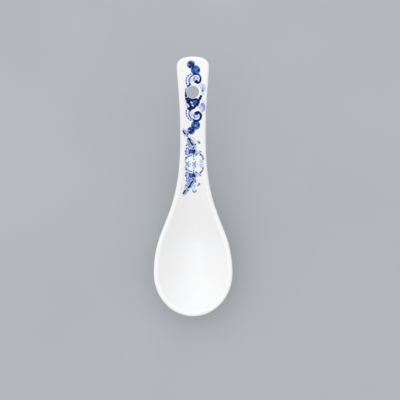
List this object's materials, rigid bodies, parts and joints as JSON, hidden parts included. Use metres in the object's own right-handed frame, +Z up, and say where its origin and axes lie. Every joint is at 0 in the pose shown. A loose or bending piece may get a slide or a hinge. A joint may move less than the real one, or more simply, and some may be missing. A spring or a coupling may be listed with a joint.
{
  "type": "soup spoon",
  "caption": "Flat-footed porcelain soup spoon: a deep oval bowl sweeping up into a dished handle with a hanging hole, clear glazed and printed with blue scroll ornament.",
  "frame": {"origin": "middle of the flat foot's underside, where the spoon stands on a table", "axes": "+Z up from the table, +Y along the spoon from the bowl's tip to the end of the handle, +X to the right when looking along +Y"},
  "size_m": [0.042, 0.136, 0.042],
  "materials": {
    "biscuit": "bare fired porcelain, matt, cream white, fine grained",
    "glaze": "clear gloss glaze over white porcelain",
    "cobalt_dark": "dark navy cobalt print, glossy, soft edged",
    "cobalt_mid": "cobalt blue print, glossy, soft edged",
    "cobalt_pale": "pale blue washed print, glossy, soft edged"
  },
  "bodies": {
    "root": {"porcelain_body": "biscuit", "glaze_coat": "glaze", "rosette_far": "cobalt_dark", "rosette_near": "cobalt_dark", "berry_far": "cobalt_mid", "berry_near": "cobalt_mid", "scroll_far": "cobalt_dark", "scroll_near": "cobalt_dark", "bead_string_far": "cobalt_dark", "bead_string_near": "cobalt_dark", "side_leaf_far": "cobalt_pale", "side_leaf_near": "cobalt_pale", "leaf_tip_far": "cobalt_mid", "leaf_tip_near": "cobalt_mid", "long_leaf_far": "cobalt_mid", "long_leaf_near": "cobalt_mid", "blossom_far": "cobalt_mid", "blossom_near": "cobalt_mid", "bud_far": "cobalt_pale", "bud_near": "cobalt_pale", "seed_far": "cobalt_pale", "seed_near": "cobalt_pale", "tendril_far": "cobalt_pale", "tendril_near": "cobalt_pale", "lappet_garland": "cobalt_dark", "knot_left": "cobalt_pale", "knot_right": "cobalt_pale"}
  },
  "joints": []
}
